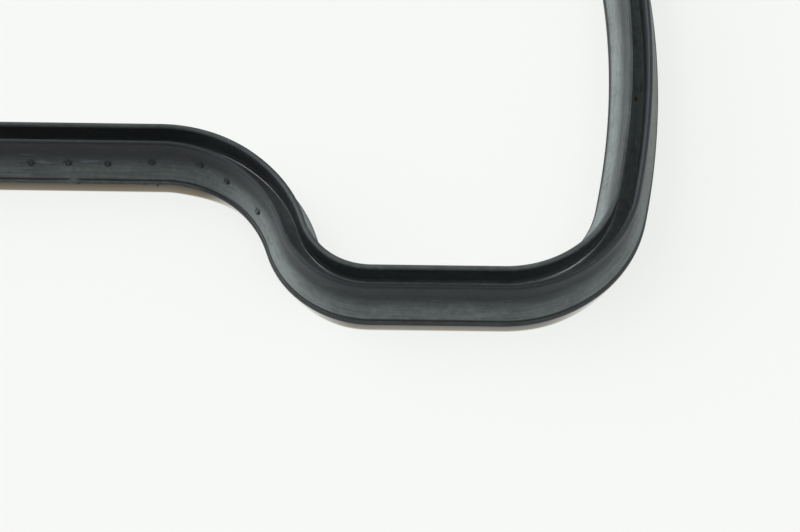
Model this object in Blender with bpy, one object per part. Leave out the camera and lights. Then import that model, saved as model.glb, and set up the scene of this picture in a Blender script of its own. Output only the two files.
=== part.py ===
"""Valve cover gasket: one moulded rubber loop with an open channel on a flared foot.

The loop's plan is a closed chain of straight runs and arcs. One cross-section is
carried round it: extruded along each straight run and spun round each arc.
Frame: metres, +X along the loop, +Z up, origin under the middle of the loop on the
plane that it rests on. The front of the loop, with the stepped side, faces -Y.
"""

import math

import bmesh
import bpy
from mathutils import Matrix, Vector

MM = 0.001

# Cross-section, symmetric about the channel's middle
HEIGHT = 10.55 * MM
RAIL_WIDTH = 5.15 * MM
WALL = 1.1 * MM
GROOVE_DEPTH = 5.4 * MM
GROOVE_FILLET = 0.35 * MM
FOOT_WIDTH = 10.2 * MM
LIP_HEIGHT = 1.25 * MM
LIP_STEP = 0.1 * MM
LIP_EDGE = 0.22 * MM
CREASE_DEPTH = 0.1 * MM
FLARE_TOP = 2.2 * MM
FLARE_POWER = 2.1
RELIEF_WIDTH = 3.0 * MM
RELIEF_DEPTH = 0.4 * MM

# Plan of the channel's middle line
SIDE_RUN = 272.1 * MM
STEP_RADIUS_OUT = 27.8 * MM
STEP_RUN = 1.5 * MM
STEP_RADIUS_IN = 16.4 * MM
STEP_ANGLE = math.radians(71.0)
BULGE_RUN = 24.9 * MM
CORNER_RADIUS = 24.9 * MM
END_RADIUS = 196.0 * MM
END_HALF_ANGLE = math.radians(13.4)

# Pips on the outer face: distance along the middle line from the start of the
# step's first bend, and height of the pip's centre above the rest plane
PIPS = (
    (-26.0 * MM, 4.5 * MM),
    (-18.5 * MM, 4.7 * MM),
    (-10.7 * MM, 4.5 * MM),
    (-1.9 * MM, 5.0 * MM),
    (9.0 * MM, 5.9 * MM),
    (15.8 * MM, 4.6 * MM),
    (26.2 * MM, 3.9 * MM),
)
PIP_RADIUS = 0.7 * MM

# Facets: how far a chord may cut inside a bend's outer edge, and section steps
CHORD_ERROR = 0.04 * MM
FLARE_STEPS = 5
CREST_STEPS = 4
PIP_SEGMENTS = 10
PIP_RINGS = 6

MERGE = 0.00001
RUBBER = (0.018, 0.019, 0.020, 1.0)
RUBBER_ROUGHNESS = 0.45


def half_width(z):
    """Half the body's width at a height between the lip and the wall's crest."""
    top = HEIGHT - FLARE_TOP
    drop = max(0.0, (top - z) / (top - LIP_HEIGHT))
    flare = FOOT_WIDTH / 2 - LIP_STEP - RAIL_WIDTH / 2
    return RAIL_WIDTH / 2 + flare * drop ** FLARE_POWER


def half_section():
    """Points of the outer half, from the underside up and over into the groove."""
    foot = FOOT_WIDTH / 2
    crease = foot - LIP_STEP
    points = [(RELIEF_WIDTH / 2 - RELIEF_DEPTH, RELIEF_DEPTH), (RELIEF_WIDTH / 2, 0.0)]
    points += [(foot - LIP_EDGE, 0.0), (foot, LIP_EDGE)]
    points += [(foot, LIP_HEIGHT - LIP_EDGE), (foot - LIP_EDGE, LIP_HEIGHT)]
    points.append((crease - CREASE_DEPTH, LIP_HEIGHT - CREASE_DEPTH / 2))

    top = HEIGHT - FLARE_TOP
    bottom = LIP_HEIGHT + CREASE_DEPTH
    for i in range(FLARE_STEPS + 1):
        z = bottom + (top - bottom) * i / FLARE_STEPS
        points.append((half_width(z), z))

    crest_radius = WALL / 2
    crest = (RAIL_WIDTH / 2 - crest_radius, HEIGHT - crest_radius)
    for i in range(CREST_STEPS + 1):
        angle = math.pi * i / CREST_STEPS
        across = crest_radius * math.cos(angle)
        up = crest_radius * math.sin(angle)
        points.append((crest[0] + across, crest[1] + up))

    groove = RAIL_WIDTH / 2 - WALL
    floor = HEIGHT - GROOVE_DEPTH
    points += [(groove, floor + GROOVE_FILLET), (groove - GROOVE_FILLET, floor)]
    return points


def section():
    """The whole closed outline, as (outward, up) pairs."""
    outer = half_section()
    inner = [(-u, z) for u, z in reversed(outer)]
    return outer + inner


def advance(place, move):
    """Place and heading after one straight run or one arc, left turns positive."""
    (x, y), heading = place
    kind, size, turn = move
    if kind == "run":
        return (x + size * math.cos(heading), y + size * math.sin(heading)), heading
    cx, cy = arc_centre(place, move)
    side = math.copysign(size, turn)
    end = heading + turn
    return (cx + side * math.sin(end), cy - side * math.cos(end)), end


def arc_centre(place, move):
    """Centre of an arc that starts at a place and heading."""
    (x, y), heading = place
    side = math.copysign(move[1], move[2])
    return x - side * math.sin(heading), y + side * math.cos(heading)


def plan():
    """Start of the loop and its moves, counter-clockwise seen from above."""
    quarter = math.pi / 2
    corner = quarter - END_HALF_ANGLE
    moves = [
        ("run", SIDE_RUN, 0.0),
        ("arc", STEP_RADIUS_OUT, -STEP_ANGLE),
        ("run", STEP_RUN, 0.0),
        ("arc", STEP_RADIUS_IN, STEP_ANGLE),
        ("run", BULGE_RUN, 0.0),
        ("arc", CORNER_RADIUS, corner),
        ("arc", END_RADIUS, 2 * END_HALF_ANGLE),
        ("arc", CORNER_RADIUS, corner),
    ]
    place = ((0.0, 0.0), 0.0)
    places = []
    for move in moves:
        places.append(place)
        place = advance(place, move)
    back = place[0]
    moves += [
        ("run", back[0], 0.0),
        ("arc", CORNER_RADIUS, quarter),
        ("run", back[1] - 2 * CORNER_RADIUS, 0.0),
        ("arc", CORNER_RADIUS, quarter),
    ]

    end_start = places[6]
    end_centre = arc_centre(end_start, moves[6])
    front = advance(places[3], moves[3])[0][1]
    middle_x = (end_centre[0] + END_RADIUS - CORNER_RADIUS) / 2
    middle_y = (front + back[1]) / 2
    return ((-middle_x, -middle_y), 0.0), moves


def section_ring(bm, place):
    """The section's vertices and edges, upright across the path."""
    (x, y), heading = place
    outward = Vector((math.sin(heading), -math.cos(heading), 0.0))
    centre = Vector((x, y, 0.0))
    verts = [bm.verts.new(centre + outward * u + Vector((0.0, 0.0, z))) for u, z in section()]
    edges = [bm.edges.new((verts[i - 1], verts[i])) for i in range(len(verts))]
    return verts + edges


def bend_steps(radius, turn):
    """An even count of facets, so that a bend has a facet edge at its middle."""
    facet = 2 * math.acos(1.0 - CHORD_ERROR / (radius + FOOT_WIDTH / 2))
    return 2 * math.ceil(abs(turn) / facet / 2)


def sweep(bm, start, moves):
    """Carry the section round the moves and close the loop on itself."""
    ring = section_ring(bm, start)
    place = start
    for move in moves:
        kind, size, turn = move
        if kind == "run":
            edges = [e for e in ring if isinstance(e, bmesh.types.BMEdge)]
            swept = bmesh.ops.extrude_edge_only(bm, edges=edges)["geom"]
            along = Vector((math.cos(place[1]), math.sin(place[1]), 0.0))
            verts = [v for v in swept if isinstance(v, bmesh.types.BMVert)]
            bmesh.ops.translate(bm, verts=verts, vec=along * size)
        else:
            swept = bmesh.ops.spin(
                bm, geom=ring, cent=(*arc_centre(place, move), 0.0), axis=(0.0, 0.0, 1.0),
                angle=turn, steps=bend_steps(size, turn),
            )["geom_last"]
        ring = [e for e in swept if not isinstance(e, bmesh.types.BMFace)]
        place = advance(place, move)
    bmesh.ops.remove_doubles(bm, verts=bm.verts[:], dist=MERGE)
    bmesh.ops.recalc_face_normals(bm, faces=bm.faces[:])


def place_along(place, moves, distance):
    """Place and heading at a distance along the moves."""
    for kind, size, turn in moves:
        length = size if kind == "run" else size * abs(turn)
        if distance <= length:
            share = distance / length
            part = (kind, size * share, 0.0) if kind == "run" else (kind, size, turn * share)
            return advance(place, part)
        distance -= length
        place = advance(place, (kind, size, turn))
    return place


def pip_centre(start, moves, distance, height):
    """A point on the outer face, given from the start of the step's first bend."""
    (x, y), heading = place_along(start, moves, SIDE_RUN + distance)
    u = half_width(height)
    return Vector((x + u * math.sin(heading), y - u * math.cos(heading), height))


def new_object(name, bm, collection):
    mesh = bpy.data.meshes.new(name)
    bm.to_mesh(mesh)
    bm.free()
    obj = bpy.data.objects.new(name, mesh)
    collection.objects.link(obj)
    return obj


def make_pips(start, moves, collection):
    """Balls set into the outer face; the half that stands out is the pip."""
    bm = bmesh.new()
    for distance, height in PIPS:
        centre = pip_centre(start, moves, distance, height)
        bmesh.ops.create_uvsphere(
            bm, u_segments=PIP_SEGMENTS, v_segments=PIP_RINGS, radius=PIP_RADIUS,
            matrix=Matrix.Translation(centre),
        )
    pips = new_object("pip_balls", bm, collection)
    pips.hide_render = True
    pips.display_type = "WIRE"
    return pips


def rubber():
    material = bpy.data.materials.new("black_rubber")
    material.use_nodes = True
    shader = material.node_tree.nodes["Principled BSDF"]
    shader.inputs["Base Color"].default_value = RUBBER
    shader.inputs["Roughness"].default_value = RUBBER_ROUGHNESS
    shader.inputs["Metallic"].default_value = 0.0
    return material


def make_gasket(start, moves, pips, collection):
    bm = bmesh.new()
    sweep(bm, start, moves)
    gasket = new_object("cover_gasket", bm, collection)
    gasket.data.materials.append(rubber())
    join = gasket.modifiers.new("pips", "BOOLEAN")
    join.operation = "UNION"
    join.solver = "EXACT"
    join.object = pips
    return gasket


def new_collection(name):
    collection = bpy.data.collections.new(name)
    bpy.context.scene.collection.children.link(collection)
    return collection


def main():
    for obj in list(bpy.data.objects):
        bpy.data.objects.remove(obj, do_unlink=True)
    model = new_collection("Valve cover gasket")
    tools = new_collection("Cutters")
    start, moves = plan()
    pips = make_pips(start, moves, tools)
    make_gasket(start, moves, pips, model)


main()
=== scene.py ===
"""Looks of the valve cover gasket: a fine moulded rubber loop on a pale table."""

import math
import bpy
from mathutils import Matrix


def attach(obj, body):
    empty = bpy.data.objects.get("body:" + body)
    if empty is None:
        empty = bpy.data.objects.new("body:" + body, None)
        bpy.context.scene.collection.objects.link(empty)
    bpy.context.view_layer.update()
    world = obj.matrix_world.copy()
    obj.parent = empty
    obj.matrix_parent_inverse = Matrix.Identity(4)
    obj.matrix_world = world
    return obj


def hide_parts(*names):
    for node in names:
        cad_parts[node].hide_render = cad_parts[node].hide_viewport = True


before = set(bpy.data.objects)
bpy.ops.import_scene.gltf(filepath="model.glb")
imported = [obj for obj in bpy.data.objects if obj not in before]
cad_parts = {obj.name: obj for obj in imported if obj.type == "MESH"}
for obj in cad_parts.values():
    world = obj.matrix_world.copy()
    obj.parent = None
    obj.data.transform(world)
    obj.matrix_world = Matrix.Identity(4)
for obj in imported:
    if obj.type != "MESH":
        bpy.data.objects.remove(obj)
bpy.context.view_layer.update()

from types import SimpleNamespace

import bpy
import numpy as np
from mathutils import Matrix, Vector

MM = 0.001
CM = 0.01

# Cross-section, as in the frame's solid
HEIGHT = 10.55 * MM
RAIL_WIDTH = 5.15 * MM
WALL = 1.1 * MM
GROOVE_DEPTH = 5.4 * MM
GROOVE_FILLET = 0.35 * MM
FOOT_WIDTH = 10.2 * MM
LIP_HEIGHT = 1.25 * MM
LIP_STEP = 0.1 * MM
LIP_EDGE = 0.22 * MM
CREASE_DEPTH = 0.1 * MM
FLARE_TOP = 2.2 * MM
FLARE_POWER = 2.1
RELIEF_WIDTH = 3.0 * MM
RELIEF_DEPTH = 0.4 * MM

# Plan of the channel's middle line, as in the frame's solid
SIDE_RUN = 272.1 * MM
STEP_RADIUS_OUT = 27.8 * MM
STEP_RUN = 1.5 * MM
STEP_RADIUS_IN = 16.4 * MM
STEP_ANGLE = math.radians(71.0)
BULGE_RUN = 24.9 * MM
CORNER_RADIUS = 24.9 * MM
END_RADIUS = 196.0 * MM
END_HALF_ANGLE = math.radians(13.4)

# Points of the section: steps of each curve, and where flat parts have a point
EDGE_STEPS = 5
CREST_STEPS = 10
FILLET_STEPS = 5
FLARE_STEPS_OUTER = 40
FLARE_STEPS_INNER = 14
RELIEF_POINT = 0.4 * MM
LAND_POINT = 1.5 * MM
FLOOR_POINT = 0.3 * MM
FLOOR_EDGE = 1.3 * GROOVE_FILLET
WALL_SHARES = (0.25, 0.5, 0.75)
CREASE_BACK = 0.8 * CREASE_DEPTH
CREASE_TOP = 0.4 * CREASE_DEPTH

# Sections along the loop: the stretch that the photo shows, and the strides between them
SEEN_START = -60 * MM
SEEN_END = 220 * MM
SEEN_STRIDE = 0.9 * MM
PIP_STRIDE = 0.15 * MM
PIP_MARGIN = 1.3 * MM
BEND_STRIDE = 1.6 * MM
RUN_STRIDE = 4.0 * MM
LAST_GAP = 0.2 * MM
HAIR = 0.01 * MM

# Pips on the outer face: distance from the start of the step's first bend, height
PIPS = (
    (-26.0 * MM, 4.5 * MM),
    (-18.5 * MM, 4.7 * MM),
    (-10.7 * MM, 4.5 * MM),
    (-1.9 * MM, 5.0 * MM),
    (9.0 * MM, 5.9 * MM),
    (15.8 * MM, 4.6 * MM),
    (26.2 * MM, 3.9 * MM),
)
PIP_RADIUS = 0.72 * MM
PIP_STAND = 0.3 * MM
PIP_ZONE = 1.5 * PIP_RADIUS
MOAT_DEPTH = 0.07 * MM

# Rings round a pip's middle in radii: each place with the width that it fades over
MOAT = (1.12, 0.14)
# Painted shade on a pip's sides and bottom, darker lower down
PIP_SHADE_INSIDE = (0.26, 0.24)
PIP_SHADE_OUTSIDE = (1.16, 0.24)
PIP_SHADE_SLANT = 0.9
CORE = (0.36, 0.24)
RING = (1.2, 0.3)
# Painted highlight at a pip's middle, and the share of the bloom taken off over the pip
CORE_HIGHLIGHT = 0.10
RING_BLOOM_CUT = 0.55

# Scraps of flash at the foot's lower edge: distance as for the pips, and size
NICKS = ((-17.2 * MM, 0.26 * MM), (-3.6 * MM, 0.25 * MM), (-1.2 * MM, 0.45 * MM))
NICK_REACH = 0.33 * MM
NICK_TOP = 0.7 * MM
NICK_DARK = 0.5

# The walls lean in a little at the middle of the step, over this reach each way
LEAN = 0.35 * MM
LEAN_REACH = 17.0 * MM

# Where the section's surfaces begin, measured out from the middle or up
LIP_START = 4.7 * MM
FOOT_START = 4.6 * MM
FACE_MARGIN = 0.3 * MM
FLOOR_REACH = 1.2 * GROOVE_FILLET
CORNER_REACH = 1.1 * GROOVE_FILLET
CREST_SHIFT = 0.1 * MM

# Painted shade along the crease above the foot's lip, and the place where it is filled for a
# short way
CREASE_SHADE_LIFT = 0.05 * MM
CREASE_SHADE_REACH = 0.14 * MM
CREASE_SHADE_GAP = -17.9 * MM
CREASE_SHADE_GAP_REACH = 0.8 * MM

# Bloom and painted light, lighter towards the foot: starts this share of the way down the flare
# and thickens over the next
BLOOM_LIGHT_START = 0.16
BLOOM_LIGHT_RISE = 0.68

# Painted highlight on the far wall's crest, at its outer side and added towards the groove
CREST_HIGHLIGHT = (0.11, 0.29)
GROOVE_GLOSS = 0.3

# Amounts that change along the loop: a base, then stretches in the form of amount_at
# Painted shade: the rubber darker away from the step and the bottom run, as on the left run
DIM_SHADE = (0.38, (-0.30, -5, 45, 200, 60))
# Bloom and painted light on the face, thicker along the step and past the corner
FACE_BLOOM_AND_LIGHT = (0.77, (0.18, 6, 14, 40, 14), (0.10, 80, 24, 200, 60))
LIP_BLOOM = (0.0, (0.50, -260, 30, 2, 16), (0.24, 46, 10, 90, 12))
GROOVE_BLOOM = (0.16, (-0.096, 8, 14, 45, 15))
# Groove floor, partly dust and partly painted light: lighter along the right run, darker in the
# step
FLOOR_DUST_AND_LIGHT = (
    0.42,
    (-0.42, 8, 14, 18, 12),
    (-0.10, 18, 12, 45, 15),
    (0.24, 98, 25, 200, 60),
)
# Painted highlight on the far crest, less along the step
CREST_HIGHLIGHT_ALONG = (1.0, (-0.45, 8, 14, 42, 12))
# Painted shade on the groove side of the near wall's crest, past the step
NEAR_CREST_SHADE = (0.0, (0.80, 40, 14, 100, 20))
CORNER_GLOSS = (1.0, (-0.75, 24, 6, 36, 6))
LIP_PROUD_MM = (0.0, (0.15, -250, 30, 30, 20))
# How far the crease's painted shade rises and widens along the loop
CREASE_SHADE_RISE_MM = (0.0, (0.28, 8, 20, 110, 20))
SHADE_REACH_MM = (0.0, (1.85, -268, 60, 5, 22), (0.9492, 42, 12, 86, 18))
SHADE_DEPTH = (0.0, (0.97, -270, 70, 10, 16), (0.84, 42, 12, 86, 18))

# Camera, worked out from the photo
LENS = 64.83
SENSOR = 36.0
CLIP_START = 0.01
CAMERA_AIM = Vector((147.84, -57.38, 1.45)) * MM
CAMERA_DISTANCE = 279.7 * MM
CAMERA_ELEVATION = math.radians(60.68)
CAMERA_AZIMUTH = math.radians(0.59)
CAMERA_ROLL = math.radians(1.26)

# Light from the sky in soft lobes: azimuth, elevation, strength, sharpness
LOBES = (
    (8.0, 34.0, 2.3, 11.0),
    (172.0, 3.0, 7.6, 11.0),
    (135.0, 32.0, 7.6, 20.0),
    (178.0, 56.0, 8.6, 90.0),
    (353.0, 57.0, 10.0, 90.0),
    (90.0, 82.0, 1.6, 30.0),
)
SKY = 0.03
LIGHT = (1.0, 1.0, 1.0, 1.0)

# Pale surroundings as a reflection shows them, and the ray heights where they fade out
BACKDROP = (0.92, 0.93, 0.92, 1.0)
BACKDROP_TOP = (0.20, 0.35)

# Rubber: clean, under its pale bloom and painted light, and dark under painted shade and at the
# flash scraps
CLEAN = (0.0285, 0.0337, 0.0372, 1.0)
BLOOM_AND_LIGHT = (0.183, 0.212, 0.207, 1.0)
DARK = (0.008, 0.009, 0.010, 1.0)
ROUGHNESS = (0.40, 0.52)
GLOSS_SMOOTHING = 0.32
SPECULAR = (0.18, 1.0)

# Patterns on the rubber: cycles per cm and detail, and how streaks are drawn out
CLOUD = (1.6, 4.0)
FLECK = (9.0, 3.0)
STREAK = (24.0, 3.0)
GRAIN = (55.0, 2.0)
STREAK_STRETCH = (0.05, 0.05, 1.0)

# How much each pattern changes the bloom either way, over this range of its noise
NOISE_RANGE = (0.3, 0.7)
STREAK_RANGE = (0.36, 0.64)
CLOUDED = 0.18
FLECKED = 0.15
GRAINED = 0.12
STREAKED = 0.16
CLEAN_UNEVEN = 0.10
DUST_RANGE = (0.62, 0.75)
DUST = 0.12

# Fine relief of the skin
GRAIN_RELIEF = 0.6
STREAK_RELIEF = 0.8
RELIEF_STRENGTH = 0.5
RELIEF_HEIGHT = 0.02 * MM

# Marks on the rubber: where, how far they reach, in mm, colour and strength
MARKS = (
    ((188.99, -38.87, 3.02), (0.22, 0.34, 0.25), (0.004, 0.004, 0.004, 1.0), 0.9),
    ((195.74, -19.49, 5.15), (0.50, 1.05, 0.60), (0.060, 0.030, 0.012, 1.0), 0.85),
    ((85.60, -36.30, 4.95), (2.30, 1.00, 0.42), (0.125, 0.138, 0.190, 1.0), 0.52),
    ((76.60, -36.45, 4.60), (1.90, 1.00, 0.50), (0.150, 0.145, 0.140, 1.0), 0.50),
    ((73.60, -35.90, 6.60), (2.00, 1.00, 0.28), (0.150, 0.160, 0.165, 1.0), 0.28),
    ((200.60, -20.00, 2.60), (2.60, 34.0, 1.70), (0.178, 0.160, 0.135, 1.0), 0.60),
)
MARK_EDGE = (0.95, 0.45)
MARK_RAGGED = 0.45

# Table: as light meets it, as it is seen, and the part of it that takes a soft shadow
TABLE_SIZE = 6.0
TABLE_MATTE = (0.92, 0.93, 0.925, 1.0)
TABLE_ROUGHNESS = 0.9
PALE = (0.750, 0.767, 0.743, 1.0)
TABLE_LIT = (0.15, 0.15, 0.15, 1.0)

# Brown line of shade at the foot's front edge, and the strip of table that carries it
SHADE_NEAR = (0.060, 0.052, 0.038, 1.0)
SHADE_FAR = (0.215, 0.180, 0.125, 1.0)
SHADE_LIT = (0.01, 0.01, 0.01, 1.0)
SHADE_LIFT = 0.02 * MM
SHADE_OFFSETS = np.concatenate([[-0.8], np.arange(0.0, 2.4, 0.1)]) * MM
SHADE_END = 110.0 * MM
SHADE_STRIDE = 1.0 * MM
SHADE_FADE = 0.24 * MM
LEAST_REACH = 0.1 * MM


def half_width(z):
    """Half the body's width at a height between the lip and the wall's crest."""
    top = HEIGHT - FLARE_TOP
    drop = max(0.0, (top - z) / (top - LIP_HEIGHT))
    flare = FOOT_WIDTH / 2 - LIP_STEP - RAIL_WIDTH / 2
    return RAIL_WIDTH / 2 + flare * drop ** FLARE_POWER


def arc_points(centre, radius, start, end, steps):
    """Points on an arc, ends included, angles in degrees."""
    points = []
    for i in range(steps + 1):
        angle = math.radians(start + (end - start) * i / steps)
        u = centre[0] + radius * math.cos(angle)
        z = centre[1] + radius * math.sin(angle)
        points.append((u, z))
    return points


def half_section(flare_steps):
    """Points of the outer half, from the underside up and over into the groove."""
    foot = FOOT_WIDTH / 2
    crease = foot - LIP_STEP
    points = [(RELIEF_POINT, RELIEF_DEPTH), (RELIEF_WIDTH / 2 - RELIEF_DEPTH, RELIEF_DEPTH)]
    points += [(RELIEF_WIDTH / 2, 0.0), (foot - LAND_POINT, 0.0), (foot - 2 * LIP_EDGE, 0.0)]
    points += arc_points((foot - LIP_EDGE, LIP_EDGE), LIP_EDGE, -90, 0, EDGE_STEPS)
    points.append((foot, LIP_HEIGHT / 2))
    points += arc_points((foot - LIP_EDGE, LIP_HEIGHT - LIP_EDGE), LIP_EDGE, 0, 90, EDGE_STEPS)
    points.append((crease - CREASE_DEPTH, LIP_HEIGHT - CREASE_DEPTH / 2))
    points.append((crease - CREASE_BACK, LIP_HEIGHT + CREASE_TOP))

    top = HEIGHT - FLARE_TOP
    bottom = LIP_HEIGHT + CREASE_DEPTH
    for i in range(flare_steps + 1):
        z = bottom + (top - bottom) * i / flare_steps
        points.append((half_width(z), z))
    points.append((RAIL_WIDTH / 2, HEIGHT - FLARE_TOP / 2))

    crest_radius = WALL / 2
    crest = (RAIL_WIDTH / 2 - crest_radius, HEIGHT - crest_radius)
    points += arc_points(crest, crest_radius, 0, 180, CREST_STEPS)

    groove = RAIL_WIDTH / 2 - WALL
    floor = HEIGHT - GROOVE_DEPTH
    wall_drop = GROOVE_DEPTH - crest_radius - GROOVE_FILLET
    points += [(groove, HEIGHT - crest_radius - share * wall_drop) for share in WALL_SHARES]
    fillet = (groove - GROOVE_FILLET, floor + GROOVE_FILLET)
    points += arc_points(fillet, GROOVE_FILLET, 0, -90, FILLET_STEPS)
    points += [(groove - FLOOR_EDGE, floor), (FLOOR_POINT, floor)]
    return points


def section():
    """The whole closed outline as (outward, up) pairs, finer on the outer face."""
    outer = half_section(FLARE_STEPS_OUTER)
    inner = [(-u, z) for u, z in reversed(half_section(FLARE_STEPS_INNER))]
    return np.array(outer + inner)


def advance(place, move):
    """Place and heading after one straight run or one arc, left turns positive."""
    (x, y), heading = place
    kind, size, turn = move
    if kind == "run":
        return (x + size * math.cos(heading), y + size * math.sin(heading)), heading
    cx, cy = arc_centre(place, move)
    side = math.copysign(size, turn)
    end = heading + turn
    return (cx + side * math.sin(end), cy - side * math.cos(end)), end


def arc_centre(place, move):
    """Centre of an arc that starts at a place and heading."""
    (x, y), heading = place
    side = math.copysign(move[1], move[2])
    return x - side * math.sin(heading), y + side * math.cos(heading)


def plan():
    """Start of the loop and its moves, counter-clockwise seen from above."""
    quarter = math.pi / 2
    corner = quarter - END_HALF_ANGLE
    moves = [
        ("run", SIDE_RUN, 0.0),
        ("arc", STEP_RADIUS_OUT, -STEP_ANGLE),
        ("run", STEP_RUN, 0.0),
        ("arc", STEP_RADIUS_IN, STEP_ANGLE),
        ("run", BULGE_RUN, 0.0),
        ("arc", CORNER_RADIUS, corner),
        ("arc", END_RADIUS, 2 * END_HALF_ANGLE),
        ("arc", CORNER_RADIUS, corner),
    ]
    place = ((0.0, 0.0), 0.0)
    places = []
    for move in moves:
        places.append(place)
        place = advance(place, move)
    back = place[0]
    moves += [
        ("run", back[0], 0.0),
        ("arc", CORNER_RADIUS, quarter),
        ("run", back[1] - 2 * CORNER_RADIUS, 0.0),
        ("arc", CORNER_RADIUS, quarter),
    ]
    end_centre = arc_centre(places[6], moves[6])
    front = advance(places[3], moves[3])[0][1]
    middle_x = (end_centre[0] + END_RADIUS - CORNER_RADIUS) / 2
    middle_y = (front + back[1]) / 2
    return ((-middle_x, -middle_y), 0.0), moves


def move_length(move):
    """Length of a run, or of an arc along its middle line."""
    return move[1] if move[0] == "run" else move[1] * abs(move[2])


def place_along(place, moves, distance):
    """Place and heading at a distance along the moves."""
    for move in moves:
        kind, size, turn = move
        length = move_length(move)
        if distance <= length:
            share = distance / length
            part = (kind, size * share, 0.0) if kind == "run" else (kind, size, turn * share)
            return advance(place, part)
        distance -= length
        place = advance(place, move)
    return place


def stations(moves):
    """Distances along the middle line: close where the photo looks, closer at pips."""
    total = sum(move_length(m) for m in moves)
    ends = np.cumsum([move_length(m) for m in moves])
    result = []
    s = 0.0
    while s < total - LAST_GAP:
        result.append(s)
        if min(abs(s - SIDE_RUN - d) for d, _ in PIPS) < PIP_MARGIN:
            s += PIP_STRIDE
        elif SEEN_START <= s - SIDE_RUN <= SEEN_END:
            s += SEEN_STRIDE
        else:
            kind, size, _ = moves[int(np.searchsorted(ends, s + HAIR))]
            s += BEND_STRIDE if kind == "arc" and size < END_RADIUS else RUN_STRIDE
    return np.array(result), total


def smooth(x):
    """Eased step from 0 to 1."""
    x = np.clip(x, 0.0, 1.0)
    return x * x * (3.0 - 2.0 * x)


def amount_at(s, amounts):
    """An amount at a distance along the loop: its base and what each stretch adds.

    A stretch holds what it adds, where it starts to rise, over how far, where it starts
    to fall and over how far, in mm from the start of the step's first bend.
    """
    total, *stretches = amounts
    d = (s - SIDE_RUN) / MM
    for amount, start, rise, end, fall in stretches:
        total += amount * smooth((d - start) / rise) * (1.0 - smooth((d - end) / fall))
    return total


def bump_at(value, middle, reach):
    """A soft bump, 1 at its middle and fading over its reach each way."""
    return np.exp(-((value - middle) / reach) ** 2)


def lean(s, z):
    """How far the rubber leans in at a distance along the loop and a height."""
    middle = SIDE_RUN + STEP_RADIUS_OUT * STEP_ANGLE + STEP_RUN / 2
    share = np.clip(abs(s - middle) / LEAN_REACH, 0.0, 1.0)
    rise = np.clip((z - LIP_HEIGHT) / (HEIGHT - LIP_HEIGHT), 0.0, 1.0)
    return LEAN * math.cos(share * math.pi / 2) ** 2 * rise


def dome(reach):
    """Height of a pip over the face at a distance from its middle."""
    t = reach / PIP_RADIUS
    core = PIP_STAND * np.sqrt(np.clip(1.0 - t ** 2, 0.0, 1.0))
    return np.where(t < 1.0, core, -MOAT_DEPTH * bump_at(t, *MOAT))


def pip_reach(s, z):
    """Distance over the face to the nearest pip, and how far below its middle."""
    reach = np.full(z.shape, 1.0)
    below = np.zeros(z.shape)
    for distance, height in PIPS:
        bend = 1.0 if distance < 0 else 1.0 - half_width(height) / STEP_RADIUS_OUT
        r = np.hypot((s - SIDE_RUN - distance) * bend, z - height)
        below = np.where(r < reach, (height - z) / PIP_RADIUS, below)
        reach = np.minimum(reach, r)
    return reach, below


def zones(across, z):
    """Which points of the section lie on each surface, and what never changes there."""
    wall = RAIL_WIDTH / 2 - HAIR
    hollow = RAIL_WIDTH / 2 - WALL
    flare_top = HEIGHT - FLARE_TOP
    zone = SimpleNamespace()
    zone.face = (across > wall) & (z > LIP_HEIGHT + FACE_MARGIN) & (z < flare_top)
    zone.groove = (abs(across) < hollow + HAIR) & (z > HEIGHT / 3)
    zone.floor = zone.groove & (z < HEIGHT - GROOVE_DEPTH + FLOOR_REACH)
    zone.corner = zone.floor & (-across > hollow - CORNER_REACH)
    zone.lip = (z <= LIP_HEIGHT) & (abs(across) > LIP_START)
    zone.foot = (z <= LIP_HEIGHT) & (across > FOOT_START)
    zone.edge = abs(across) > FOOT_START
    crest = (z > HEIGHT - WALL / 2) & (abs(across) > hollow)
    zone.near_crest = crest & (across > 0) & (across < (RAIL_WIDTH - WALL) / 2 + CREST_SHIFT)

    skin = (abs(across) > wall) & (z > LIP_HEIGHT)
    down = (flare_top - z) / (flare_top - LIP_HEIGHT)
    # Bloom and painted light: lighter down the flare towards the foot, where it turns up to the
    # light
    zone.film = np.where(skin, smooth((down - BLOOM_LIGHT_START) / BLOOM_LIGHT_RISE), 0.0)
    inward = (RAIL_WIDTH / 2 + across) / WALL
    # Painted highlight on the far crest, brighter towards the groove
    zone.chalk = (CREST_HIGHLIGHT[0] + CREST_HIGHLIGHT[1] * inward) * crest * (across < 0)
    zone.gloss = np.where(zone.corner, 1.0, GROOVE_GLOSS * (zone.groove & ~zone.floor))
    return zone


def nick_swell(s, z, zone):
    """How far the scraps of flash stand out at the section's points, and how dark."""
    stand = np.zeros(z.shape)
    dark = np.zeros(z.shape)
    for distance, size in NICKS:
        swell = bump_at(s - SIDE_RUN, distance, NICK_REACH) * zone.foot * (z < NICK_TOP)
        stand = stand + size * swell
        dark = np.maximum(dark, swell)
    return stand, dark


def outward(s, across, z, zone):
    """How far out each point of the section lies at a distance along the loop."""
    reach, _ = pip_reach(s, z)
    near = zone.face & (reach < PIP_ZONE)
    proud = amount_at(s, LIP_PROUD_MM) * MM * zone.foot
    stand, _ = nick_swell(s, z, zone)
    return across + np.where(near, dome(reach), 0.0) + proud + stand - lean(s, z)


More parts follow.
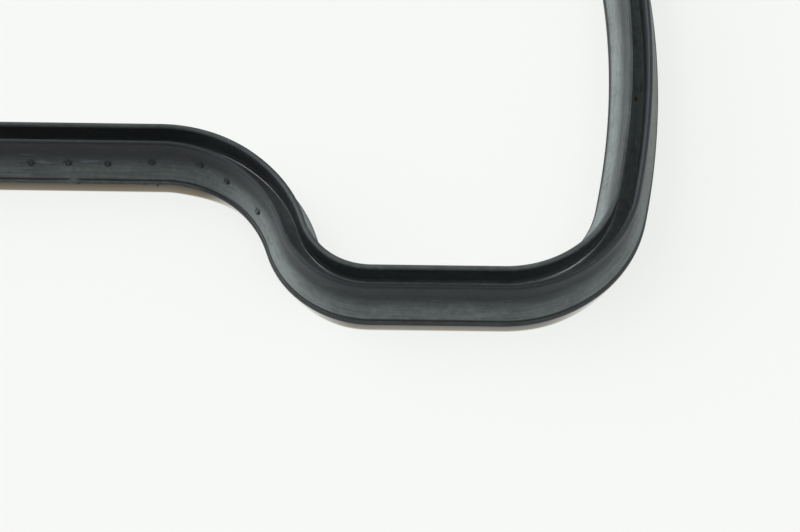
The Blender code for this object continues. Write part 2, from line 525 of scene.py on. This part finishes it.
def finish_and_painted_light_at(s, z, zone):
    """Bloom, painted light and highlight, darkness of painted shade and of the flash scraps, and
    gloss of each point of the section at a distance along.
    """
    reach, below = pip_reach(s, z)
    t = reach / PIP_RADIUS
    inside = smooth((t - PIP_SHADE_INSIDE[0]) / PIP_SHADE_INSIDE[1])
    outside = smooth((PIP_SHADE_OUTSIDE[0] - t) / PIP_SHADE_OUTSIDE[1])
    # Painted shade round a pip's sides and bottom, and a painted highlight at its middle
    pip_shade = inside * outside * smooth(1.0 + PIP_SHADE_SLANT * below) * zone.face
    ring = smooth((RING[0] - t) / RING[1]) * zone.face
    core = smooth((CORE[0] - t) / CORE[1]) * zone.face

    # Painted shade: a dark band along the crease just above the lip
    rise = amount_at(s, CREASE_SHADE_RISE_MM) * MM
    crease = bump_at(z, LIP_HEIGHT + CREASE_SHADE_LIFT + rise, CREASE_SHADE_REACH + rise / 2)
    crease = crease * zone.edge * (1.0 - bump_at(s - SIDE_RUN, CREASE_SHADE_GAP, CREASE_SHADE_GAP_REACH))

    tone = amount_at(s, FACE_BLOOM_AND_LIGHT) * zone.film * (1.0 - RING_BLOOM_CUT * ring) + CORE_HIGHLIGHT * core
    tone = tone + amount_at(s, GROOVE_BLOOM) * zone.groove
    tone = tone + amount_at(s, CREST_HIGHLIGHT_ALONG) * zone.chalk
    # Groove floor: dust and painted light
    tone = tone + amount_at(s, FLOOR_DUST_AND_LIGHT) * zone.floor
    tone = tone + amount_at(s, LIP_BLOOM) * zone.lip

    _, nick = nick_swell(s, z, zone)
    dark = np.maximum(crease, pip_shade)
    # Painted shade over all but the lip, less along the step and the bottom run
    dark = np.maximum(dark, amount_at(s, DIM_SHADE) * (1.0 - zone.lip))
    dark = np.maximum(dark, NICK_DARK * nick)
    # Painted shade on the near crest's groove side
    dark = np.maximum(dark, amount_at(s, NEAR_CREST_SHADE) * zone.near_crest)

    gloss = zone.gloss * np.where(zone.corner, amount_at(s, CORNER_GLOSS), 1.0)
    return np.stack([tone, dark, gloss], axis=1)


def girth(outline):
    """Length round the section up to each of its points."""
    steps = np.linalg.norm(np.roll(outline, -1, axis=0) - outline, axis=1)
    return np.concatenate([[0.0], np.cumsum(steps)[:-1]])


def grid_object(name, points, corners, attributes):
    """An object from a grid of points, its faces' corners and its points' attributes."""
    mesh = bpy.data.meshes.new(name)
    faces = np.stack(corners, axis=2).reshape(-1, 4).tolist()
    mesh.from_pydata(np.array(points).reshape(-1, 3).tolist(), [], faces)
    for key, values in attributes.items():
        layer = mesh.attributes.new(key, "FLOAT_VECTOR", "POINT")
        layer.data.foreach_set("vector", np.array(values, dtype=np.float32).ravel())
    obj = bpy.data.objects.new(name, mesh)
    bpy.context.scene.collection.objects.link(obj)
    return obj


def loft():
    """The loop's mesh as a closed grid of sections, with each point's finish and its painted
    light and shade.
    """
    start, moves = plan()
    outline = section()
    across, z = outline[:, 0], outline[:, 1]
    zone = zones(across, z)
    round_section = girth(outline)
    along, total = stations(moves)
    ring = total / (2 * math.pi)
    rows, finish_and_painted_light, moulding = [], [], []
    for s in along:
        (x, y), heading = place_along(start, moves, s)
        u = outward(s, across, z, zone)
        rows.append(np.stack([x + u * math.sin(heading), y - u * math.cos(heading), z], axis=1))
        finish_and_painted_light.append(finish_and_painted_light_at(s, z, zone))
        turn = s / ring
        circle = [np.full(len(z), ring * math.cos(turn)), np.full(len(z), ring * math.sin(turn))]
        moulding.append(np.stack(circle + [round_section], axis=1) / CM)

    a = np.arange(len(along) * len(z)).reshape(len(along), len(z))
    b = np.roll(a, -1, axis=0)
    corners = [a, b, np.roll(b, -1, axis=1), np.roll(a, -1, axis=1)]
    obj = grid_object("gasket_loop", rows, corners, {"finish_and_painted_light": finish_and_painted_light, "moulding": moulding})
    obj.data.shade_smooth()
    return obj


def add(tree, kind, inputs, **settings):
    """A node with its settings; each input is a value or another node's output."""
    new = tree.nodes.new(kind)
    for name, value in settings.items():
        setattr(new, name, value)
    for key, value in inputs.items():
        if isinstance(value, bpy.types.NodeSocket):
            tree.links.new(value, new.inputs[key])
        else:
            new.inputs[key].default_value = value
    return new


def maths(tree, operation, first, second=0.0, third=0.0):
    """Result of a maths node."""
    inputs = {0: first, 1: second, 2: third}
    return add(tree, "ShaderNodeMath", inputs, operation=operation).outputs[0]


def vector_maths(tree, operation, first, second):
    """Vector that a vector maths node gives."""
    inputs = {0: first, 1: second}
    return add(tree, "ShaderNodeVectorMath", inputs, operation=operation).outputs[0]


def blend(tree, share, first, second):
    """Colour that goes from the first to the second as the share goes from 0 to 1."""
    new = add(tree, "ShaderNodeMix", {0: share, 6: first, 7: second}, data_type="RGBA")
    return new.outputs[2]


def spread(tree, value, low, high, out_low=0.0, out_high=1.0):
    """A value taken from one range to another and kept inside it."""
    inputs = {0: value, 1: low, 2: high, 3: out_low, 4: out_high}
    return add(tree, "ShaderNodeMapRange", inputs).outputs[0]


def swing(tree, pattern, limits, amount):
    """A pattern's noise as a change of up to an amount either way."""
    return spread(tree, pattern, *limits, -amount, amount)


def noise(tree, place, pattern):
    """Noise of a pattern's scale and detail."""
    inputs = {"Vector": place, "Scale": pattern[0], "Detail": pattern[1]}
    return add(tree, "ShaderNodeTexNoise", inputs).outputs["Fac"]


def stored(tree, name):
    """A vector that the mesh stores at its points."""
    return add(tree, "ShaderNodeAttribute", {}, attribute_name=name).outputs["Vector"]


def bloom_and_light_share(tree, film, patterns):
    """Share of the bloom's colour with its painted light, uneven over the skin, with a little
    dust.
    """
    cloud, fleck, streak, grain = patterns
    uneven = maths(
        tree, "ADD",
        swing(tree, cloud, NOISE_RANGE, CLOUDED),
        swing(tree, fleck, NOISE_RANGE, FLECKED),
    )
    uneven = maths(tree, "ADD", uneven, swing(tree, grain, NOISE_RANGE, GRAINED))
    uneven = maths(tree, "ADD", uneven, swing(tree, streak, STREAK_RANGE, STREAKED))
    share = maths(tree, "MULTIPLY", film, maths(tree, "ADD", uneven, 1.0))
    dust = maths(tree, "MULTIPLY", spread(tree, fleck, *DUST_RANGE), DUST)
    share = maths(tree, "ADD", share, dust)
    share = maths(tree, "ADD", share, maths(tree, "MULTIPLY", uneven, CLEAN_UNEVEN))
    return add(tree, "ShaderNodeClamp", {0: share}).outputs[0]


def rubber_material():
    """Black rubber with a pale, uneven bloom that gathers towards the foot, partly dust and
    partly painted light, and painted shade in its darkest parts.
    """
    material = bpy.data.materials.new("bloomed_painted_light_rubber")
    material.use_nodes = True
    tree = material.node_tree
    shader = tree.nodes["Principled BSDF"]
    place = stored(tree, "moulding")
    finish_and_painted_light = add(tree, "ShaderNodeSeparateXYZ", {0: stored(tree, "finish_and_painted_light")})
    film, dark, gloss = finish_and_painted_light.outputs

    drawn_out = vector_maths(tree, "MULTIPLY", place, STREAK_STRETCH)
    cloud = noise(tree, place, CLOUD)
    fleck = noise(tree, place, FLECK)
    streak = noise(tree, drawn_out, STREAK)
    grain = noise(tree, place, GRAIN)

    share = bloom_and_light_share(tree, film, (cloud, fleck, streak, grain))
    colour = blend(tree, share, CLEAN, BLOOM_AND_LIGHT)
    # Painted shade, and the flash scraps' dark, mix in the darkest colour
    colour = blend(tree, dark, colour, DARK)
    colour = add_marks(tree, colour, fleck)
    tree.links.new(colour, shader.inputs["Base Color"])

    rough = spread(tree, cloud, *NOISE_RANGE, *ROUGHNESS)
    rough = maths(tree, "SUBTRACT", rough, maths(tree, "MULTIPLY", gloss, GLOSS_SMOOTHING))
    tree.links.new(rough, shader.inputs["Roughness"])
    specular = spread(tree, gloss, 0.0, 1.0, *SPECULAR)
    tree.links.new(specular, shader.inputs["Specular IOR Level"])

    relief = maths(tree, "MULTIPLY", grain, GRAIN_RELIEF)
    relief = maths(tree, "ADD", relief, maths(tree, "MULTIPLY", streak, STREAK_RELIEF))
    relief = maths(tree, "MULTIPLY", relief, maths(tree, "SUBTRACT", 1.0, gloss))
    inputs = {"Height": relief, "Strength": RELIEF_STRENGTH, "Distance": RELIEF_HEIGHT}
    bump = add(tree, "ShaderNodeBump", inputs)
    tree.links.new(bump.outputs[0], shader.inputs["Normal"])
    return material


def add_marks(tree, colour, ragged):
    """Lay the marks over a colour, each with a ragged edge."""
    place = add(tree, "ShaderNodeTexCoord", {}).outputs["Object"]
    for centre, reach, tint, strength in MARKS:
        near = vector_maths(tree, "SUBTRACT", place, Vector(centre) * MM)
        near = vector_maths(tree, "MULTIPLY", near, tuple(1.0 / (r * MM) for r in reach))
        length = add(tree, "ShaderNodeVectorMath", {0: near}, operation="LENGTH")
        far = maths(
            tree, "ADD", length.outputs["Value"], swing(tree, ragged, NOISE_RANGE, MARK_RAGGED)
        )
        colour = blend(tree, spread(tree, far, *MARK_EDGE, 0.0, strength), colour, tint)
    return colour


def mirror_ray(tree):
    """1 for the rays that a gloss or a clear body sends on, otherwise 0."""
    path = add(tree, "ShaderNodeLightPath", {}).outputs
    return maths(tree, "MAXIMUM", path["Is Glossy Ray"], path["Is Transmission Ray"])


def camera_ray(tree):
    """1 for the camera's own rays, otherwise 0."""
    return add(tree, "ShaderNodeLightPath", {}).outputs["Is Camera Ray"]


def table_material(name, shaded):
    """Pale table that glows a little for the camera and still takes a soft shadow."""
    material = bpy.data.materials.new(name)
    material.use_nodes = True
    tree = material.node_tree
    matte = tree.nodes["Principled BSDF"]
    matte.inputs["Base Color"].default_value = TABLE_MATTE
    matte.inputs["Roughness"].default_value = TABLE_ROUGHNESS
    matte.inputs["Specular IOR Level"].default_value = 0.0
    glow = add(tree, "ShaderNodeEmission", {"Color": PALE, "Strength": 1.0})
    soft = add(tree, "ShaderNodeBsdfDiffuse", {"Color": TABLE_LIT})
    # The shade strip paints its brown shadow into the glow's colour
    if shaded:
        parts = add(tree, "ShaderNodeSeparateXYZ", {0: stored(tree, "contact")}).outputs
        shade = blend(tree, parts[1], SHADE_NEAR, SHADE_FAR)
        tree.links.new(blend(tree, parts[0], PALE, shade), glow.inputs["Color"])
        tree.links.new(blend(tree, parts[0], TABLE_LIT, SHADE_LIT), soft.inputs["Color"])
    both = add(tree, "ShaderNodeAddShader", {0: glow.outputs[0], 1: soft.outputs[0]})
    seen = maths(tree, "MAXIMUM", camera_ray(tree), mirror_ray(tree))
    mixed = add(tree, "ShaderNodeMixShader", {0: seen, 1: matte.outputs[0], 2: both.outputs[0]})
    tree.links.new(mixed.outputs[0], tree.nodes["Material Output"].inputs["Surface"])
    return material


def make_shade():
    """A strip of the table along the foot's front edge, where the brown shade lies."""
    start, moves = plan()
    offsets = FOOT_WIDTH / 2 + SHADE_OFFSETS
    flat = np.full(len(offsets), SHADE_LIFT)
    rows, contact = [], []
    for s in np.arange(0.0, SIDE_RUN + SHADE_END, SHADE_STRIDE):
        (x, y), heading = place_along(start, moves, s)
        reach = amount_at(s, SHADE_REACH_MM) * MM
        fade = smooth((reach - SHADE_OFFSETS) / SHADE_FADE + 0.5) * amount_at(s, SHADE_DEPTH)
        farther = np.clip(SHADE_OFFSETS / max(reach, LEAST_REACH), 0.0, 1.0)
        contact.append(np.stack([fade, farther, np.zeros(len(offsets))], axis=1))
        side = [x + offsets * math.sin(heading), y - offsets * math.cos(heading), flat]
        rows.append(np.stack(side, axis=1))
    a = np.arange(len(rows) * len(offsets)).reshape(len(rows), len(offsets))
    corners = [a[:-1, :-1], a[:-1, 1:], a[1:, 1:], a[1:, :-1]]
    strip = grid_object("table_shade", rows, corners, {"contact": contact})
    strip.data.materials.append(table_material("table_shade", True))


def make_floor():
    """The table, one large flat square under the loop."""
    bpy.ops.mesh.primitive_plane_add(size=TABLE_SIZE, location=(0.0, 0.0, 0.0))
    floor = bpy.context.object
    floor.name = "table"
    floor.data.materials.append(table_material("table", False))


def make_camera():
    """The camera at the photo's viewing angle, rolled a little as the photo is."""
    data = bpy.data.cameras.new("camera")
    data.lens = LENS
    data.sensor_width = SENSOR
    data.clip_start = CLIP_START
    camera = bpy.data.objects.new("camera", data)
    bpy.context.scene.collection.objects.link(camera)
    flat = Vector((math.sin(CAMERA_AZIMUTH), math.cos(CAMERA_AZIMUTH), 0.0))
    down = Vector((0.0, 0.0, -1.0))
    forward = flat * math.cos(CAMERA_ELEVATION) + down * math.sin(CAMERA_ELEVATION)
    side = Vector((flat.y, -flat.x, 0.0))
    up = side.cross(forward)
    right = side * math.cos(CAMERA_ROLL) + up * math.sin(CAMERA_ROLL)
    top = up * math.cos(CAMERA_ROLL) - side * math.sin(CAMERA_ROLL)
    place = CAMERA_AIM - forward * CAMERA_DISTANCE
    rotation = Matrix((right, top, -forward)).transposed()
    camera.matrix_world = Matrix.Translation(place) @ rotation.to_4x4()
    bpy.context.scene.camera = camera


def make_world():
    """A sky of soft lobes that lights the object; the camera sees it plain and pale."""
    world = bpy.data.worlds.new("studio")
    world.use_nodes = True
    tree = world.node_tree
    way = add(tree, "ShaderNodeTexCoord", {}).outputs["Generated"]
    total = SKY
    for azimuth, elevation, strength, sharpness in LOBES:
        a = math.radians(azimuth)
        e = math.radians(elevation)
        aim = (math.cos(a) * math.cos(e), math.sin(a) * math.cos(e), math.sin(e))
        facing = add(tree, "ShaderNodeVectorMath", {0: way, 1: aim}, operation="DOT_PRODUCT")
        ahead = maths(tree, "MAXIMUM", facing.outputs["Value"])
        lobe = maths(tree, "POWER", ahead, sharpness)
        total = maths(tree, "MULTIPLY_ADD", lobe, strength, total)
    light = tree.nodes["Background"]
    light.inputs["Color"].default_value = LIGHT
    tree.links.new(total, light.inputs["Strength"])

    plain = add(tree, "ShaderNodeBackground", {"Color": BACKDROP})
    height = add(tree, "ShaderNodeSeparateXYZ", {0: way}).outputs[2]
    low = spread(tree, height, *BACKDROP_TOP, 1.0, 0.0)
    mirrored = maths(tree, "MULTIPLY", mirror_ray(tree), low)
    seen = maths(tree, "MAXIMUM", camera_ray(tree), mirrored)
    inputs = {0: seen, 1: light.outputs[0], 2: plain.outputs[0]}
    mixed = add(tree, "ShaderNodeMixShader", inputs)
    tree.links.new(mixed.outputs[0], tree.nodes["World Output"].inputs["Surface"])
    bpy.context.scene.world = world


def main():
    """Lay the finished loop over its solid, then set the table, camera and light."""
    gasket = loft()
    gasket.data.materials.append(rubber_material())
    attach(gasket, "root")
    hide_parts("cover_gasket")
    make_floor()
    make_shade()
    make_camera()
    make_world()
    bpy.context.scene.view_settings.view_transform = "Standard"


main()
